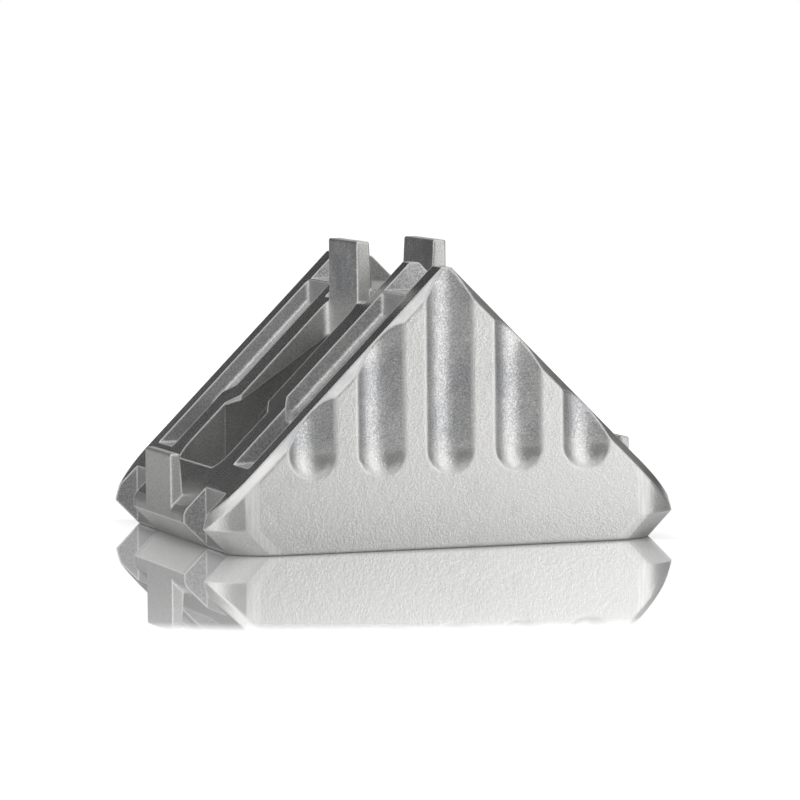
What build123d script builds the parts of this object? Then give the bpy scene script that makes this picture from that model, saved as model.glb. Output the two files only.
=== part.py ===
from build123d import *
from math import radians, sqrt, tan
import os

# Corner bracket for slotted aluminium profile, die cast in one piece.
#
# It stands on its open long side, on the plane Z = 0. The crest, where the two
# mounting faces would meet, runs along Y above the origin, and the mounting faces
# fall away from it at 45 degrees to -X and +X. The dies open along Z, so every
# wall of a pocket, groove or opening is vertical. Stations along a leg are
# horizontal distances from the crest, or insets from the toe face at its foot.

# ---------------------------------------------------------------- driving sizes
leg = 38.6  # mounting face, from the inner corner of the profiles to the toe face
width = 43.0  # across the side faces, 1 mm inside a 45 mm profile on each side
parting_height = 2.8  # die parting line round the toes, foot tapers in below it
toe_land = 1.3  # upright toe face, parting line to the plane of the mounting face
corner_radius = 6.0  # upright corners of the plan
corner_overrun = 0.6  # the toe faces cut the corner rounding short by this
tip_radius = 1.5  # rounding between mounting face and toe face
crest_flat = 1.1  # flat along the top of the crest
edge_chamfer = 0.9  # between mounting faces and side faces
base_round = 0.3  # outer edge of the base

flute_count = 5
flute_pitch = 7.93
flute_width = 5.5
flute_depth = 0.8
flute_floor = 8.2  # height of the lowest point of a flute

side_wall = 3.55  # side face to cavity, and to the outer edge of the pockets
flange = 4.2  # mounting face to the roof of the main cavity, square to the face

opening_narrow = 10.6  # bolt opening, crest end
opening_wide = 16.2  # bolt opening, toe end
opening_top = 5.3  # station where the opening starts, below the upper lug
opening_jog_inset = 10.9  # toe face to the step between the two widths
opening_toe_inset = 4.45  # toe face to the foot of the opening
jog_run = 1.0  # length of a slanted step along the leg
opening_toe_radius = 2.0
opening_top_radius = 0.9

lip_edge = 0.35  # thickness of the lip at the step in the opening
lip_angle = 34.5  # slope of the underside of the lips
recess_step = 0.5  # recess under the lips, wider than the opening on each side

rib = 4.1  # upright rib between the opening and the deep pocket
pocket_top = 3.7  # station of the upper end of the pockets
pocket_narrow_inner = 9.65  # inner edge of a pocket beside the narrow opening
pocket_jog_inset = 11.85  # toe face to the step between shallow and deep pocket
pocket_toe_inset = 5.1  # toe face to the foot of the deep pocket
pocket_depth = 1.75  # shallow pocket, square to the mounting face
pocket_round = 0.5  # inside edges of the shallow pocket
deep_round = 0.4  # floor of the deep pocket to its walls

crest_groove_depth = 3.6  # below the line where the mounting faces would meet
crest_groove_outer = 17.4  # half distance between the outer walls of the two grooves
toe_groove_depth = 2.6  # into the toe face
toe_groove_inner = 10.3  # half distance between the two grooves of a toe
channel_width = 14.6  # open channel between the upper lugs
lug_notch_depth = 5.1  # notch on each side of an upper lug, below the same line

chamber_top = 12.7  # half length of the part of the cavity under the flanges
chamber_toe_inset = 6.8  # toe face to the toe end of the side chambers
deep_floor = 3.0  # metal between a deep pocket and the chamber below it

lug_width = 10.4  # runs in the 10 mm slot of the profile
upper_lug_thickness = 1.5  # at the top
upper_lug_rise = 1.7  # top of the upper lugs above the meeting mounting faces
toe_lug_thickness = 1.15  # at the top
toe_lug_top = 10.05  # height of the top of the toe lugs
lug_draft = 3.5  # degrees, the face of a lug on the casting's side
lug_round = 0.25  # edges of the lugs

# ------------------------------------------------------------- derived positions
reach = leg / sqrt(2)  # half length over the toe faces
toe_rise = parting_height + toe_land  # where a mounting face meets its toe face
crown = reach + toe_rise  # height at which the mounting faces would meet
half_width = width / 2
pocket_outer = half_width - side_wall
opening_jog = reach - opening_jog_inset
lip_start = opening_jog + jog_run / 2
opening_toe = reach - opening_toe_inset
pocket_jog = reach - pocket_jog_inset
pocket_toe = reach - pocket_toe_inset
pocket_wide_inner = opening_wide / 2 + rib
recess_half = opening_wide / 2 + recess_step
above = crown + 2 * upper_lug_rise  # clear of everything above


def face_height(station):
    """Height of the mounting faces at a distance from the crest."""
    return crown - station


def lip_height(station):
    """Height of the underside of the lips at a distance from the crest."""
    return face_height(lip_start) - lip_edge + (lip_start - station) * tan(radians(lip_angle))


# --------------------------------------------------- plan form, seen from above
with BuildSketch() as outline:
    RectangleRounded(2 * (reach + corner_overrun), width, corner_radius)
    Rectangle(2 * reach, width, mode=Mode.INTERSECT)

with BuildSketch() as foot_outline:
    RectangleRounded(2 * (reach - parting_height + corner_overrun), width, corner_radius)
    Rectangle(2 * (reach - parting_height), width, mode=Mode.INTERSECT)

with BuildPart() as plan_form:
    with Locations((0, 0, parting_height)):
        add(outline.sketch)
    extrude(amount=crown)
    add(foot_outline.sketch)
    with Locations((0, 0, parting_height)):
        add(outline.sketch)
    loft(ruled=True)
    fillet(plan_form.faces().sort_by(Axis.Z)[0].edges(), base_round)

# ------------------------------------------------------------------------ flutes
flute_radius = (flute_width**2 / 4 + flute_depth**2) / (2 * flute_depth)
with BuildPart() as flutes:
    flute_start = flute_floor + flute_width / 2
    with Locations((0, flute_radius - flute_depth + half_width, flute_start)):
        with GridLocations(flute_pitch, 0, flute_count, 1):
            Sphere(flute_radius)
            Cylinder(flute_radius, crown, align=(Align.CENTER, Align.CENTER, Align.MIN))
    mirror(about=Plane.XZ)

# ------------------------------------------------- bolt opening, toe side at -X
with BuildPart() as opening:
    with BuildSketch():
        with BuildLine():
            Polyline(
                (-opening_toe, opening_wide / 2),
                (-opening_jog - jog_run / 2, opening_wide / 2),
                (-opening_jog + jog_run / 2, opening_narrow / 2),
                (-opening_top, opening_narrow / 2),
                (-opening_top, 0),
                (-opening_toe, 0),
                close=True,
            )
        make_face()
        mirror(about=Plane.XZ)
    extrude(amount=above)
    fillet(opening.edges().filter_by(Axis.Z).group_by(Axis.X)[0], opening_toe_radius)
    fillet(opening.edges().filter_by(Axis.Z).group_by(Axis.X)[-1], opening_top_radius)

# ------------------------------------------------ pocket beside the bolt opening
with BuildPart() as shallow_pocket:
    with BuildSketch():
        with BuildLine():
            Polyline(
                (-pocket_jog - jog_run, pocket_outer),
                (-pocket_jog - jog_run, pocket_wide_inner),
                (-pocket_jog - jog_run / 2, pocket_wide_inner),
                (-pocket_jog + jog_run / 2, pocket_narrow_inner),
                (-pocket_top, pocket_narrow_inner),
                (-pocket_top, pocket_outer),
                close=True,
            )
        make_face()
    extrude(amount=above)
    fillet(shallow_pocket.edges().filter_by(Axis.Z).group_by(Axis.X)[-1], pocket_round)
    floor_drop = pocket_depth * sqrt(2)
    with BuildSketch(Plane.XZ):
        with BuildLine():
            Polyline(
                (-reach, face_height(reach) - floor_drop),
                (0, crown - floor_drop),
                (0, above),
                (-reach, above),
                close=True,
            )
        make_face()
    extrude(amount=-half_width, mode=Mode.INTERSECT)
    fillet(shallow_pocket.faces().sort_by(Axis.Z)[0].edges(), pocket_round)

with BuildPart() as deep_pocket:
    with BuildSketch(Plane.XY.offset(face_height(pocket_toe))):
        with Locations((-pocket_toe, pocket_wide_inner)):
            Rectangle(pocket_toe - pocket_jog, pocket_outer - pocket_wide_inner, align=Align.MIN)
    extrude(amount=above)
    fillet(deep_pocket.faces().sort_by(Axis.Z)[0].edges(), deep_round)

# ------------------------------------------------------------- cavity from below
with BuildPart() as cavity:
    # recess under the lips of the openings
    with BuildSketch(Plane.XZ):
        with BuildLine():
            Polyline(
                (-lip_start, -1),
                (-lip_start, lip_height(lip_start)),
                (0, lip_height(0)),
                (lip_start, lip_height(lip_start)),
                (lip_start, -1),
                close=True,
            )
        make_face()
    extrude(amount=recess_half, both=True)
    # open space between the side walls, under both flanges
    roof_drop = flange * sqrt(2)
    with BuildSketch(Plane.XZ):
        with BuildLine():
            Polyline(
                (-chamber_top, -1),
                (-chamber_top, face_height(chamber_top) - roof_drop),
                (0, crown - roof_drop),
                (chamber_top, face_height(chamber_top) - roof_drop),
                (chamber_top, -1),
                close=True,
            )
        make_face()
    extrude(amount=pocket_outer, both=True)
    # side chambers that lighten the toes
    chamber_roof = face_height(pocket_toe) - deep_floor
    with BuildSketch(Plane.XY.offset(-1)):
        with GridLocations(0, pocket_outer + pocket_wide_inner, 1, 2):
            Rectangle(2 * (reach - chamber_toe_inset), pocket_outer - pocket_wide_inner)
    extrude(amount=chamber_roof + 1)

# --------------------------------------------------------------- grooves and lugs
with BuildPart() as grooves:
    # across the crest, beside the ribs, and the channel between the upper lugs
    groove_middle = (crest_groove_outer + pocket_narrow_inner) / 2
    with BuildSketch(Plane.XY.offset(crown - crest_groove_depth)):
        with Locations((0, groove_middle)):
            Rectangle(4 * crest_groove_depth, crest_groove_outer - pocket_narrow_inner)
        Rectangle(2 * opening_top, channel_width)
    extrude(amount=above)
    # notches that free both sides of an upper lug
    with BuildSketch(Plane.XY.offset(crown - lug_notch_depth)):
        with Locations((-opening_top, 0)):
            Rectangle(2 * upper_lug_thickness, channel_width)
    extrude(amount=above)
    # upright grooves in the toe face
    with BuildSketch(Plane.XY.offset(-1)):
        with Locations((-reach + toe_groove_depth, toe_groove_inner)):
            Rectangle(
                2 * toe_groove_depth, pocket_outer - toe_groove_inner, align=(Align.MAX, Align.MIN)
            )
    extrude(amount=above)

with BuildPart() as cuts_from_above:
    add([shallow_pocket.part, deep_pocket.part, grooves.part, opening.part])
    mirror(about=Plane.XZ)
    mirror(about=Plane.YZ)

with BuildPart() as upper_lug:
    upper_top = crown + upper_lug_rise
    upper_foot = face_height(opening_top) - upper_lug_thickness
    upper_spread = (upper_top - upper_foot) * tan(radians(lug_draft))
    with BuildSketch(Plane.XZ):
        with BuildLine():
            Polyline(
                (-opening_top, upper_foot),
                (-opening_top, upper_top),
                (-opening_top + upper_lug_thickness, upper_top),
                (-opening_top + upper_lug_thickness + upper_spread, upper_foot),
                close=True,
            )
        make_face()
    extrude(amount=lug_width / 2, both=True)
    fillet(upper_lug.edges().filter_by(lambda edge: (edge @ 0.5).Z > upper_foot + 0.1), lug_round)

with BuildPart() as toe_lug:
    toe_spread = (toe_lug_top - parting_height) * tan(radians(lug_draft))
    with BuildSketch(Plane.XZ):
        with BuildLine():
            Polyline(
                (-reach, parting_height),
                (-reach, toe_lug_top),
                (-reach + toe_lug_thickness, toe_lug_top),
                (-reach + toe_lug_thickness + toe_spread, parting_height),
                close=True,
            )
        make_face()
    extrude(amount=lug_width / 2, both=True)
    fillet(toe_lug.edges().filter_by(lambda edge: (edge @ 0.5).Z > parting_height + 0.1), lug_round)

# ----------------------------------------------------------------- whole casting
with BuildPart() as bracket_body:
    with BuildSketch(Plane.XZ):
        with BuildLine():
            Polyline(
                (-reach, 0),
                (-reach, toe_rise),
                (-crest_flat / 2, crown - crest_flat / 2),
                (crest_flat / 2, crown - crest_flat / 2),
                (reach, toe_rise),
                (reach, 0),
                close=True,
            )
        make_face()
    extrude(amount=half_width, both=True)
    add(plan_form.part, mode=Mode.INTERSECT)
    sloped = bracket_body.faces().filter_by(lambda face: 0.5 < face.normal_at().Z)
    border = sloped.edges().filter_by(lambda edge: half_width - corner_radius < abs((edge @ 0.5).Y))
    chamfer(border, min(edge_chamfer, toe_land / sqrt(2)))
    add(flutes.part, mode=Mode.SUBTRACT)
    add([cuts_from_above.part, cavity.part], mode=Mode.SUBTRACT)
    tips = bracket_body.edges().filter_by(Axis.Y).filter_by(lambda edge: (edge @ 0.5).Z == toe_rise)
    fillet(tips, tip_radius)
    for lug in (upper_lug.part, toe_lug.part):
        add([lug, lug.mirror(Plane.YZ)])

bracket_body.part.label = "bracket_body"

os.makedirs("parts", exist_ok=True)
export_step(bracket_body.part, "parts/bracket_body.step")
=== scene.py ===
"""Dress the die-cast corner bracket and stage it in a plain, softly lit studio."""

import logging
from dataclasses import dataclass, field
from enum import Enum
from math import cos, pi, radians, sin
from typing import Any, Dict, Optional, Sequence, Tuple, Union

import bpy
from mathutils import Matrix, Vector


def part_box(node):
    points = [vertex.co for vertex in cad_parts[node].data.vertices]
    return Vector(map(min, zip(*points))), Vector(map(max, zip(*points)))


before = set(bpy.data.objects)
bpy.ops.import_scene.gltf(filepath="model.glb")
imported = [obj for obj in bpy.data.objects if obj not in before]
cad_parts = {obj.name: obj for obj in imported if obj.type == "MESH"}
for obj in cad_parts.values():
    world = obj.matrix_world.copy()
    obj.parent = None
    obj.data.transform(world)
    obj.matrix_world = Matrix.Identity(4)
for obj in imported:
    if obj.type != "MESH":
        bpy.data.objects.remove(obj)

logging.basicConfig(level=logging.INFO, format="%(levelname)s %(message)s")
log = logging.getLogger("bracket")

Number = Union[int, float]
Colour = Tuple[float, float, float, float]
Point = Tuple[float, float, float]
Span = Tuple[float, float]
Band = Tuple[float, float, float]
Operand = Union["Wire", Number]

MM = 0.001
WHITE: Colour = (1.0, 1.0, 1.0, 1.0)
BLACK: Colour = (0.0, 0.0, 0.0, 1.0)


# ------------------------------------------------------------------ shader maths
class Wire:
    """A node's output socket that takes part in Python arithmetic."""

    def __init__(self, web: "NodeWeb", socket: Optional[bpy.types.NodeSocket]) -> None:
        """Keep the socket and the web that new Math nodes are added to."""
        self.web = web
        self.socket = socket

    def _maths(self, operation: str, *operands: Operand) -> "Wire":
        """Add one Math node.

        Args:
            operation: name of the Math node's operation.
            *operands: numbers or wires for its inputs.

        Returns:
            The wire of its result.
        """
        return self.web.node("ShaderNodeMath", {"operation": operation}, dict(enumerate(operands)))

    def __add__(self, other: Operand) -> "Wire":
        """Return self + other."""
        return self._maths("ADD", self, other)

    def __radd__(self, other: Operand) -> "Wire":
        """Return other + self."""
        return self._maths("ADD", other, self)

    def __sub__(self, other: Operand) -> "Wire":
        """Return self - other."""
        return self._maths("SUBTRACT", self, other)

    def __rsub__(self, other: Operand) -> "Wire":
        """Return other - self."""
        return self._maths("SUBTRACT", other, self)

    def __mul__(self, other: Operand) -> "Wire":
        """Return self * other."""
        return self._maths("MULTIPLY", self, other)

    def __rmul__(self, other: Operand) -> "Wire":
        """Return other * self."""
        return self._maths("MULTIPLY", other, self)

    def __neg__(self) -> "Wire":
        """Return -self."""
        return self._maths("MULTIPLY", self, -1.0)

    def __abs__(self) -> "Wire":
        """Return the distance from zero."""
        return self._maths("ABSOLUTE", self)

    def low(self, other: Operand) -> "Wire":
        """Return the lower of the two values."""
        return self._maths("MINIMUM", self, other)

    def high(self, other: Operand) -> "Wire":
        """Return the higher of the two values."""
        return self._maths("MAXIMUM", self, other)

    def other(self, name: str) -> "Wire":
        """Return the wire of another output of the same node."""
        return Wire(self.web, self.socket.node.outputs[name])

    def rise(self, start: Number, end: Number) -> "Wire":
        """Ramp from 0 at start to 1 at end, level beyond both.

        Args:
            start: value that gives 0.
            end: value that gives 1.

        Returns:
            The ramp as a mask.
        """
        return self.web.node(
            "ShaderNodeMapRange",
            {"interpolation_type": "SMOOTHSTEP"},
            {"Value": self, "From Min": start, "From Max": end},
        )

    def band(self, middle: Number, half: Number, soft: Number) -> "Wire":
        """Return 1 within half of the middle, falling to 0 over soft.

        Args:
            middle: centre of the band.
            half: half its width.
            soft: width of each faded edge.

        Returns:
            The band as a mask.
        """
        return 1.0 - abs(self - middle).rise(half, half + soft)


class NodeWeb:
    """The nodes of one material or world."""

    def __init__(self, tree: bpy.types.NodeTree) -> None:
        """Empty the tree and keep it."""
        self.tree = tree
        tree.nodes.clear()

    def node(
        self,
        kind: str,
        settings: Optional[Dict[str, Any]] = None,
        values: Optional[Dict[Union[int, str], Any]] = None,
        out: Union[int, str] = 0,
    ) -> Wire:
        """Add a node, set it up and feed its sockets.

        Args:
            kind: the node's type name.
            settings: its properties by name.
            values: numbers, colours or wires by input name or place.
            out: the output wanted.

        Returns:
            The wire of that output, with no socket where the node has none.
        """
        made = self.tree.nodes.new(kind)
        for name, value in (settings or {}).items():
            setattr(made, name, value)
        for name, value in (values or {}).items():
            if isinstance(value, Wire):
                self.tree.links.new(value.socket, made.inputs[name])
            else:
                made.inputs[name].default_value = value
        return Wire(self, made.outputs[out] if made.outputs else None)

    def axes(self, vector: Wire) -> Tuple[Wire, Wire, Wire]:
        """Return the three values of a vector."""
        first = self.node("ShaderNodeSeparateXYZ", {}, {"Vector": vector})
        return first, first.other("Y"), first.other("Z")

    def mix(self, mask: Operand, first: Operand, second: Operand) -> Wire:
        """Return the first value where the mask is 0, the second where it is 1."""
        return self.node("ShaderNodeMix", {"data_type": "FLOAT"}, {0: mask, 2: first, 3: second})

    def blend(self, mask: Operand, first: Any, second: Any) -> Wire:
        """Mix two colours.

        Args:
            mask: 0 gives the first, 1 the second.
            first: a colour or a wire.
            second: a colour or a wire.

        Returns:
            The wire of the mixed colour.
        """
        values = {"Factor": mask, 6: first, 7: second}
        return self.node("ShaderNodeMix", {"data_type": "RGBA"}, values, out=2)

    def noise(self, place: Wire, kind: "NoiseSize") -> Wire:
        """Add a noise texture.

        Args:
            place: the wire of its coordinates.
            kind: its size, in metres, and its finer layers.

        Returns:
            The wire of its value.
        """
        values = {
            "Vector": place,
            "Scale": 1 / kind.size,
            "Detail": kind.detail,
            "Roughness": kind.roughness,
        }
        return self.node("ShaderNodeTexNoise", {}, values)


# ---------------------------------------------------------------------- finishes
@dataclass(frozen=True)
class Regions:
    """Masks of the parts of the casting that differ in finish or in painted shade."""

    land: Wire
    side: Wire
    inside: Wire
    flute: Wire
    pocket: Wire
    lug: Wire
    corner: Wire
    rolled: Wire


@dataclass(frozen=True)
class Grain:
    """Noise in each size that the skin of the casting shows."""

    fine: Wire
    coarse: Wire
    speck: Wire
    patch: Wire
    streak: Wire


@dataclass(frozen=True)
class NoiseSize:
    """Size of a noise and the weight of its finer layers."""

    size: float
    detail: float
    roughness: float


@dataclass(frozen=True)
class CastAluminium:
    """Bare die-cast aluminium, tumbled bright on its edges, where a painted highlight is added too;
    painted shade darkens its pockets, its lugs' end faces and partly its flutes.

    A span gives the two ends of a fade. A band gives its middle, half its width and the
    width of its fade.
    """

    colour: Colour = (0.77, 0.765, 0.75, 1.0)
    # dark tone used both for oxide stains and for painted shade
    oxide_and_shade: Colour = (0.36, 0.365, 0.385, 1.0)
    # bright tone of tumbled metal, also used for a painted edge highlight
    worn_and_highlight: Colour = (0.96, 0.96, 0.95, 1.0)

    # roughness of each region
    rough_face: float = 0.30
    rough_inside: float = 0.44
    rough_pocket: float = 0.47
    rough_land: float = 0.19
    rough_edge: float = 0.30
    rough_corner: float = 0.50
    rough_rolled: float = 0.42
    rough_speck: float = 0.16
    rough_patch: float = 0.10

    # rounded edges, worn bright by tumbling and painted with a highlight
    edge_radius: float = 0.34 * MM
    soft_radius: float = 0.55 * MM
    soft_share: float = 0.9
    bevel_rays: Tuple[int, int] = (10, 6)
    worn_highlight_bend: Span = (0.01, 0.045)
    worn_highlight_bend_land: Span = (0.02, 0.08)
    ragged: float = 0.05
    air_reach: float = 1.0 * MM
    air_rays: int = 4
    air_open: Span = (0.5, 0.8)
    # edges made nearly non-metallic so that they read bright: a painted highlight
    worn_highlight_dullness: float = 0.9

    # skin
    fine: NoiseSize = NoiseSize(0.24 * MM, 4.0, 0.62)
    coarse: NoiseSize = NoiseSize(0.84 * MM, 2.0, 0.5)
    speck: NoiseSize = NoiseSize(0.168 * MM, 2.0, 0.6)
    patch: NoiseSize = NoiseSize(5.882353 * MM, 5.0, 0.65)
    streak: NoiseSize = NoiseSize(0.216 * MM, 2.0, 0.5)
    streak_stretch: Point = (1.0, 1.0, 0.05)
    grain_height: float = 0.062 * MM
    grain_strength: float = 0.7
    coarse_share: float = 0.45
    land_polish: float = 0.85
    flute_polish: float = 0.4

    # stains, painted shade, specks, rubbed metal and painted edge highlight
    stain_and_shade_range: Span = (-0.35, 1.25)
    stain_face: float = 0.22
    # flutes: as-cast oxide plus painted shade
    stain_and_shade_flute: Span = (0.25, 0.75)
    # painted shade on the lugs' end faces
    painted_shade_lug: Span = (0.6, 1.2)
    # painted shade in the pockets
    painted_shade_pocket: float = 0.35
    stain_and_shade_off_land: float = 0.5
    patch_face: Span = (0.5, 0.8)
    patch_flute: Span = (0.35, 0.65)
    patch_lug: Span = (0.4, 0.6)
    speck_span: Span = (0.36, 0.64)
    speck_face: float = 0.4
    speck_inside: float = 0.35
    speck_lug: float = 0.6
    streak_span: Span = (0.35, 0.65)
    streak_strength: Span = (0.5, 1.0)
    scuff_span: Span = (0.35, 0.7)
    scuff_strength: float = 0.4

    # how the regions face, as parts of the normal
    land_up: Band = (0.7071, 0.01, 0.02)
    land_sideways: Span = (0.1, 0.2)
    lug_endways: Span = (0.8, 0.9)
    corner_endways: Band = (0.14, 0.09, 0.05)
    corner_sideways: Span = (0.9, 0.96)
    rolled_sideways: Band = (0.6, 0.25, 0.1)
    rolled_up: Span = (0.2, 0.4)

    # where the regions lie: depths below a side face or a toe, heights, half widths
    side_depth: Span = (1.2 * MM, 0.9 * MM)
    flute_depth: Span = (0.25 * MM, 0.05 * MM)
    inside_depth: Span = (3.5 * MM, 3.0 * MM)
    corner_depth: Span = (8.0 * MM, 7.5 * MM)
    flute_foot: Span = (9.2 * MM, 12.7 * MM)
    lug_foot: Span = (24.5 * MM, 28.5 * MM)
    lug_half: Span = (5.4 * MM, 5.6 * MM)
    pocket_half: Span = (9.1 * MM, 9.4 * MM)

    @staticmethod
    def below(top: float, depth: Span) -> Span:
        """Return the span whose ends lie at these depths below the top."""
        return top - depth[0], top - depth[1]

    @staticmethod
    def between(mask: Wire, strength: Span) -> Wire:
        """Return the first strength where the mask is 0, the second where it is 1."""
        return strength[0] + mask * (strength[1] - strength[0])

    def regions(self, web: NodeWeb, place: Wire, flat: Wire, high: Vector) -> Regions:
        """Mark the parts of the casting by their place and the way they face.

        Args:
            web: the material's nodes.
            place: position on the casting.
            flat: direction that the surface faces, before any rounding.
            high: highest corner of the casting.

        Returns:
            The masks.
        """
        x, y, z = web.axes(place)
        endways, sideways, up = web.axes(flat)
        out, endways, sideways = abs(y), abs(endways), abs(sideways)
        side = out.rise(*self.below(high.y, self.side_depth))
        sunk = 1.0 - out.rise(*self.below(high.y, self.flute_depth))
        inside = 1.0 - out.rise(*self.below(high.y, self.inside_depth))
        near_toe = abs(x).rise(*self.below(high.x, self.corner_depth))
        turning = endways.band(*self.corner_endways) * sideways.rise(*self.corner_sideways)
        on_lug = z.rise(*self.lug_foot) * (1.0 - out.rise(*self.lug_half))
        return Regions(
            land=up.band(*self.land_up) * (1.0 - sideways.rise(*self.land_sideways)),
            side=side,
            inside=inside,
            flute=side * sunk * z.rise(*self.flute_foot),
            pocket=inside * out.rise(*self.pocket_half),
            lug=on_lug * endways.rise(*self.lug_endways),
            corner=side * turning * near_toe,
            rolled=sideways.band(*self.rolled_sideways) * up.rise(*self.rolled_up) * side,
        )

    def grain(self, web: NodeWeb, place: Wire) -> Grain:
        """Make the noise of the skin.

        Args:
            web: the material's nodes.
            place: position on the casting.

        Returns:
            The noise in each size.
        """
        upright = web.node(
            "ShaderNodeVectorMath",
            {"operation": "MULTIPLY"},
            {0: place, 1: self.streak_stretch},
            out="Vector",
        )
        return Grain(
            fine=web.noise(place, self.fine),
            coarse=web.noise(place, self.coarse),
            speck=web.noise(place, self.speck),
            patch=web.noise(place, self.patch),
            streak=web.noise(upright, self.streak),
        )

    def rounding(self, web: NodeWeb, flat: Wire, side: Wire) -> Tuple[Wire, Wire]:
        """Round the edges, more softly on the side faces.

        Args:
            web: the material's nodes.
            flat: direction that the surface faces, before any rounding.
            side: mask of the side faces.

        Returns:
            The rounded normal, and how far a tight rounding turns it.
        """
        tight, loose = (
            web.node("ShaderNodeBevel", {"samples": rays}, {"Radius": radius})
            for rays, radius in zip(self.bevel_rays, (self.edge_radius, self.soft_radius))
        )
        soft = web.node(
            "ShaderNodeMix",
            {"data_type": "VECTOR"},
            {0: side * self.soft_share, 4: tight, 5: loose},
            out=1,
        )
        same = web.node(
            "ShaderNodeVectorMath", {"operation": "DOT_PRODUCT"}, {0: tight, 1: flat}, out="Value"
        )
        return soft, 1.0 - same

    def worn_and_highlit_edge(self, web: NodeWeb, bend: Wire, regions: Regions, grain: Grain) -> Wire:
        """Mark the edges that tumbling has worn bright, which also carry a painted highlight.

        Args:
            web: the material's nodes.
            bend: how far the rounding turns the surface.
            regions: masks of the casting.
            grain: noise of the skin.

        Returns:
            The mask of the worn edges with their painted highlight.
        """
        open_air = web.node(
            "ShaderNodeAmbientOcclusion",
            {"samples": self.air_rays},
            {"Distance": self.air_reach},
            out="AO",
        )
        ragged = (grain.fine - 0.5) * self.ragged * bend.rise(0.0, self.ragged)
        edge = (bend + ragged).rise(*self.worn_highlight_bend) * open_air.rise(*self.air_open)
        return edge * (1.0 - regions.land * (1.0 - bend.rise(*self.worn_highlight_bend_land)))

    def tint(self, web: NodeWeb, edge: Wire, regions: Regions, grain: Grain) -> Wire:
        """Colour the metal: random oxide patches and specks, oxide and painted shade in the flutes,
        painted shade in the pockets and on the lugs' end faces, bright metal where it is rubbed and a
        painted highlight on the edges.

        Args:
            web: the material's nodes.
            edge: mask of the worn edges.
            regions: masks of the casting.
            grain: noise of the skin.

        Returns:
            The wire of the colour.
        """
        patch = grain.patch
        face = patch.rise(*self.patch_face) * self.stain_face
        # the flutes are darkened: partly as-cast oxide, partly painted shade
        flute = regions.flute * self.between(patch.rise(*self.patch_flute), self.stain_and_shade_flute)
        # the lugs' end faces are darkened: painted shade, broken up by patches
        lug = regions.lug * self.between(patch.rise(*self.patch_lug), self.painted_shade_lug)
        # the pockets are darkened by painted shade; the face patches are random oxide
        stain_and_shade = flute.high(face).high(lug).high(regions.pocket * self.painted_shade_pocket)
        specks = self.speck_inside * regions.flute.high(regions.inside)
        specks = self.speck_face + specks + self.speck_lug * regions.lug
        stain_and_shade = stain_and_shade + (grain.speck.rise(*self.speck_span) - 0.5) * specks
        stain_and_shade = stain_and_shade.rise(*self.stain_and_shade_range) * (1.0 - self.stain_and_shade_off_land * regions.land)
        streaks = regions.corner * self.between(
            grain.streak.rise(*self.streak_span), self.streak_strength
        )
        scuffs = regions.rolled * grain.speck.rise(*self.scuff_span) * self.scuff_strength
        # the edges are tumbling wear and also a painted highlight; streaks and scuffs are rubbed metal
        rubbed_and_highlit = edge.high(streaks).high(scuffs)
        return web.blend(rubbed_and_highlit, web.blend(stain_and_shade, self.colour, self.oxide_and_shade), self.worn_and_highlight)

    def roughness(self, web: NodeWeb, edge: Wire, regions: Regions, grain: Grain) -> Wire:
        """Set how rough each region is.

        Args:
            web: the material's nodes.
            edge: mask of the worn edges.
            regions: masks of the casting.
            grain: noise of the skin.

        Returns:
            The wire of the roughness.
        """
        rough = web.mix(regions.inside, self.rough_face, self.rough_inside)
        rough = web.mix(regions.pocket, rough, self.rough_pocket)
        rough = rough + self.rough_speck * (grain.speck - 0.5)
        for mask, value in (
            (regions.land, self.rough_land + self.rough_patch * grain.patch),
            (edge, self.rough_edge),
            (regions.corner, self.rough_corner),
            (regions.rolled, self.rough_rolled),
        ):
            rough = web.mix(mask, rough, value)
        return rough

    def relief(self, web: NodeWeb, soft: Wire, regions: Regions, grain: Grain) -> Wire:
        """Raise the grain of the skin on the rounded surface.

        Args:
            web: the material's nodes.
            soft: the rounded normal.
            regions: masks of the casting.
            grain: noise of the skin.

        Returns:
            The wire of the normal.
        """
        height = grain.fine + grain.coarse * self.coarse_share
        height = height * (1.0 - self.land_polish * regions.land)
        height = height * (1.0 - self.flute_polish * regions.flute)
        values = {
            "Strength": self.grain_strength,
            "Distance": self.grain_height,
            "Height": height,
            "Normal": soft,
        }
        return web.node("ShaderNodeBump", {}, values)

    def material(self, high: Vector) -> bpy.types.Material:
        """Build the metal's material.

        Args:
            high: highest corner of the casting.

        Returns:
            The material.
        """
        material = bpy.data.materials.new("bright_cast_aluminium")
        material.use_nodes = True
        web = NodeWeb(material.node_tree)
        place = web.node("ShaderNodeTexCoord", out="Object")
        flat = web.node("ShaderNodeNewGeometry", out="Normal")
        regions = self.regions(web, place, flat, high)
        grain = self.grain(web, place)
        soft, bend = self.rounding(web, flat, regions.side)
        edge = self.worn_and_highlit_edge(web, bend, regions, grain)
        values = {
            "Base Color": self.tint(web, edge, regions, grain),
            # the edges turn nearly non-metallic so they shine bright under any lamp: a painted highlight
            # on top of the wear
            "Metallic": 1.0 - self.worn_highlight_dullness * edge,
            "Roughness": self.roughness(web, edge, regions, grain),
            "Normal": self.relief(web, soft, regions, grain),
        }
        shader = web.node("ShaderNodeBsdfPrincipled", {}, values)
        web.node("ShaderNodeOutputMaterial", {}, {"Surface": shader})
        return material


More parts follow.
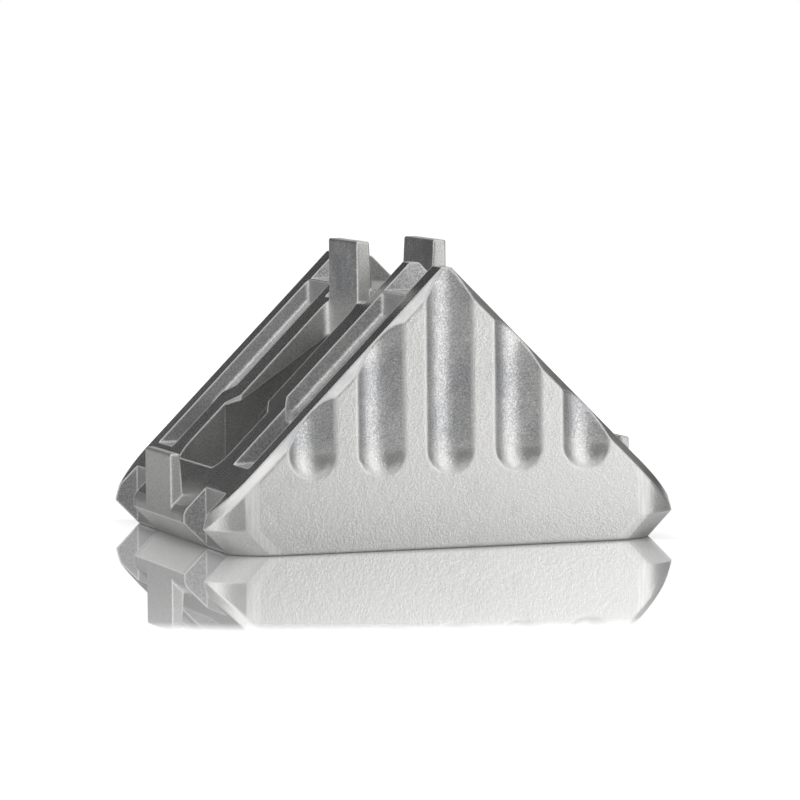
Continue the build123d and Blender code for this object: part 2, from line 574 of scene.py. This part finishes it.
@dataclass(frozen=True)
class PaleGloss:
    """Pale floor that shows white to the camera and mirrors what stands on it.

    The mirror shows only at a grazing angle and near the bracket. Metal sees the floor
    lit, apart from painted shade close to the bracket, and the camera sees a painted
    contact shadow around the bracket's foot.
    """

    tone: float = 0.8
    lift: float = 0.65
    lift_for_metal: float = 0.7
    white_from: Span = (60 * MM, 150 * MM)
    # width of the painted contact shadow around the bracket's foot
    painted_contact_shadow: float = 5 * MM
    # reach of the painted shade that metal sees on the floor
    painted_shade_reach: float = 34 * MM
    tuck: Span = (3.5 * MM, 1.5 * MM)
    index: float = 1.5
    gloss: float = 1.35
    mirror: float = 0.82
    mirror_blur: float = 0.02
    mirror_angle: Span = (0.34, 0.54)
    mirror_fade: float = 0.88
    mirror_reach: float = 97 * MM

    def material(self, high: Vector) -> bpy.types.Material:
        """Build the floor's material.

        Args:
            high: highest corner of what stands on the floor.

        Returns:
            The material.
        """
        material = bpy.data.materials.new("floor")
        material.use_nodes = True
        web = NodeWeb(material.node_tree)
        place = web.node("ShaderNodeTexCoord", out="Object")
        rays = web.node("ShaderNodeLightPath")
        shader = web.node(
            "ShaderNodeMixShader",
            {},
            {
                0: self.mirror_share(web, place, rays),
                1: self.pale(web, place, rays, high),
                2: web.node("ShaderNodeBsdfGlossy", {}, {"Color": WHITE, "Roughness": self.mirror_blur}),
            },
        )
        web.node("ShaderNodeOutputMaterial", {}, {"Surface": shader})
        return material

    def pale(self, web: NodeWeb, place: Wire, rays: Wire, high: Vector) -> Wire:
        """Build the matt floor, lifted towards white but for the real shadow and a painted shadow near
        the bracket.

        Args:
            web: the floor's nodes.
            place: position on the floor.
            rays: any output of the Light Path node.
            high: highest corner of what stands on the floor.

        Returns:
            The wire of the shader.
        """
        x, y, _ = web.axes(place)
        tuck_x, tuck_y = self.tuck
        away = (abs(x) - (high.x - tuck_x)).high(abs(y) - (high.y - tuck_y))
        white = web.mix(self.distance(web, place).rise(*self.white_from), self.lift, 1.0)
        # the glow fades out near the bracket's foot: a painted contact shadow seen by the camera
        for_camera = rays.other("Is Camera Ray") * away.rise(0.0, self.painted_contact_shadow) * white
        metal = rays.other("Is Glossy Ray").high(rays.other("Is Transmission Ray"))
        # the glow seen by metal fades out over a wider ring: painted shade on the floor near the bracket
        for_metal = metal * away.rise(0.0, self.painted_shade_reach) * self.lift_for_metal
        unlit = web.node("ShaderNodeEmission", {}, {"Color": BLACK})
        lit = web.node("ShaderNodeEmission", {}, {"Color": WHITE})
        glow = web.node("ShaderNodeMixShader", {}, {0: for_camera + for_metal, 1: unlit, 2: lit})
        matt = web.node("ShaderNodeBsdfDiffuse", {}, {"Color": (self.tone,) * 3 + (1.0,)})
        return web.node("ShaderNodeAddShader", {}, {0: matt, 1: glow})

    def mirror_share(self, web: NodeWeb, place: Wire, rays: Wire) -> Wire:
        """Set how much of the floor is mirror.

        Args:
            web: the floor's nodes.
            place: position on the floor.
            rays: any output of the Light Path node.

        Returns:
            The wire of the share.
        """
        skim = web.node("ShaderNodeFresnel", {}, {"IOR": self.index})
        far = self.distance(web, place)
        near = 1.0 - far.rise(self.mirror_fade * self.mirror_reach, self.mirror_reach)
        seen = skim.rise(*self.mirror_angle) * (self.mirror * near)
        return web.mix(rays.other("Is Camera Ray"), (skim * self.gloss).low(1.0), seen)

    @staticmethod
    def distance(web: NodeWeb, place: Wire) -> Wire:
        """Return the distance from the middle of the floor."""
        return web.node("ShaderNodeVectorMath", {"operation": "LENGTH"}, {0: place}, out="Value")


@dataclass(frozen=True)
class StudioSky:
    """World that is white behind, pale low at the back and dim elsewhere."""

    dark: float = 0.06
    front_fill: float = 0.17
    front_fade: float = 0.6
    turn: float = 18.5
    half: float = 24.0
    half_fade: Span = (-0.04, 0.02)
    top: float = 9.4
    top_fade: float = 0.03

    def world(self) -> bpy.types.World:
        """Build the world.

        Returns:
            The world.
        """
        world = bpy.data.worlds.new("studio")
        world.use_nodes = True
        web = NodeWeb(world.node_tree)
        x, y, z = web.axes(web.node("ShaderNodeTexCoord", out="Generated"))
        turn, edge, top = radians(self.turn), cos(radians(self.half)), sin(radians(self.top))
        behind = x * sin(turn) + y * cos(turn)
        backdrop = behind.rise(*(edge + fade for fade in self.half_fade))
        backdrop = backdrop * (1.0 - z.rise(top, top + self.top_fade))
        dim = self.dark + (-y).rise(0.0, self.front_fade) * (self.front_fill - self.dark)
        camera = web.node("ShaderNodeLightPath", out="Is Camera Ray")
        light = web.mix(camera, web.mix(backdrop, dim, 1.0), 1.0)
        unlit = web.node("ShaderNodeBackground", {}, {"Color": BLACK})
        white = web.node("ShaderNodeBackground", {}, {"Color": WHITE})
        sky = web.node("ShaderNodeMixShader", {}, {0: light, 1: unlit, 2: white})
        web.node("ShaderNodeOutputWorld", {}, {"Surface": sky})
        return world


# ----------------------------------------------------------------------- bracket
@dataclass
class Bracket:
    """The casting, whose CAD node carries its shape as it is."""

    node: str = "bracket_body"
    finish: CastAluminium = field(default_factory=CastAluminium)

    def dress(self) -> bpy.types.Object:
        """Give the casting its finish.

        Returns:
            The dressed object.
        """
        body = bpy.data.objects[self.node]
        material = self.finish.material(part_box(self.node)[1])
        for slot in body.material_slots:
            slot.material = material
        return body


# ------------------------------------------------------------------------- stage
@dataclass
class Camera:
    """The camera, by its angles and its distance from the bracket, in mm and degrees."""

    turn: float = 18.5
    look_down: float = 4.57
    roll: float = -0.54
    distance: float = 567.0
    target: Point = (1.4, 0.0, 14.71)
    lens: float = 224.4
    sensor: float = 36.0
    clip: Span = (0.01, 20.0)

    def build(self) -> bpy.types.Object:
        """Place the camera and make it the scene's.

        Returns:
            The camera object.
        """
        turn, down, roll = radians(self.turn), radians(self.look_down), radians(self.roll)
        ahead = Vector((sin(turn) * cos(down), cos(turn) * cos(down), -sin(down)))
        level = Vector((cos(turn), -sin(turn), 0.0))
        upright = level.cross(ahead)
        right = level * cos(roll) + upright * sin(roll)
        up = upright * cos(roll) - level * sin(roll)
        lens = bpy.data.cameras.new("studio_camera")
        lens.lens = self.lens
        lens.sensor_width = self.sensor
        lens.clip_start, lens.clip_end = self.clip
        body = bpy.data.objects.new("studio_camera", lens)
        place = (Vector(self.target) - ahead * self.distance) * MM
        axes = Matrix((right, up, -ahead)).transposed()
        body.matrix_world = Matrix.Translation(place) @ axes.to_4x4()
        bpy.context.scene.collection.objects.link(body)
        bpy.context.scene.camera = body
        return body


class Aim(Enum):
    """Where a softbox stands: azimuth from the front towards the right, elevation."""

    KEY = (35.0, 24.0)
    LEFT = (-81.0, 14.0)
    TOP = (-58.0, 52.0)
    SKY = (0.0, 89.0)
    RIM = (137.0, 52.0)

    def direction(self) -> Vector:
        """Return the unit vector from the bracket to the softbox."""
        turn, rise = (radians(angle) for angle in self.value)
        return Vector((sin(turn) * cos(rise), -cos(turn) * cos(rise), sin(rise)))


@dataclass
class Softbox:
    """A soft lamp that faces the bracket."""

    aim: Aim
    width: float
    height: float
    brightness: float
    distance: float = 0.35
    aim_height: float = 12 * MM

    def build(self) -> bpy.types.Object:
        """Hang the lamp.

        Returns:
            The lamp object.
        """
        lamp = bpy.data.lights.new(f"softbox_{self.aim.name.lower()}", "AREA")
        lamp.shape = "RECTANGLE"
        lamp.size = self.width
        lamp.size_y = self.height
        lamp.energy = self.brightness * pi * self.width * self.height
        body = bpy.data.objects.new(lamp.name, lamp)
        out = self.aim.direction()
        body.location = out * self.distance + Vector((0.0, 0.0, self.aim_height))
        body.rotation_euler = out.to_track_quat("Z", "Y").to_euler()
        bpy.context.scene.collection.objects.link(body)
        return body


@dataclass
class Floor:
    """A wide level floor under the bracket."""

    stands: str = "bracket_body"
    size: float = 6.0
    finish: PaleGloss = field(default_factory=PaleGloss)

    def build(self) -> bpy.types.Object:
        """Lay the floor.

        Returns:
            The floor object.
        """
        half = self.size / 2
        corners = [(-half, -half, 0), (half, -half, 0), (half, half, 0), (-half, half, 0)]
        mesh = bpy.data.meshes.new("floor")
        mesh.from_pydata(corners, [], [(0, 1, 2, 3)])
        mesh.materials.append(self.finish.material(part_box(self.stands)[1]))
        floor = bpy.data.objects.new("floor", mesh)
        bpy.context.scene.collection.objects.link(floor)
        return floor


@dataclass
class Studio:
    """Floor, world and softboxes."""

    floor: Floor = field(default_factory=Floor)
    sky: StudioSky = field(default_factory=StudioSky)
    softboxes: Sequence[Softbox] = (
        Softbox(Aim.KEY, 0.21, 0.36, 1.4),
        Softbox(Aim.LEFT, 0.28, 0.24, 1.0),
        Softbox(Aim.TOP, 0.36, 0.30, 1.12),
        Softbox(Aim.SKY, 0.30, 0.22, 1.2),
        Softbox(Aim.RIM, 0.36, 0.30, 0.8),
    )

    def build(self) -> None:
        """Lay the floor, fill the world and hang the softboxes."""
        scene = bpy.context.scene
        scene.view_settings.view_transform = "Standard"
        log.info("%s: laid", self.floor.build().name)
        scene.world = self.sky.world()
        log.info("%s: world filled", scene.world.name)
        for softbox in self.softboxes:
            log.info("%s: hung", softbox.build().name)


def keep_sizes() -> None:
    """Log a line about the sizes; nothing is written.
    """
    log.info("sizes: written")


def main() -> None:
    """Build, dress and light the bracket."""
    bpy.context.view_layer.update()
    body = Bracket().dress()
    log.info("%s: %d faces in %s", body.name, len(body.data.polygons), body.active_material.name)
    log.info("%s: placed", Camera().build().name)
    Studio().build()
    keep_sizes()


if __name__ == "__main__":
    main()
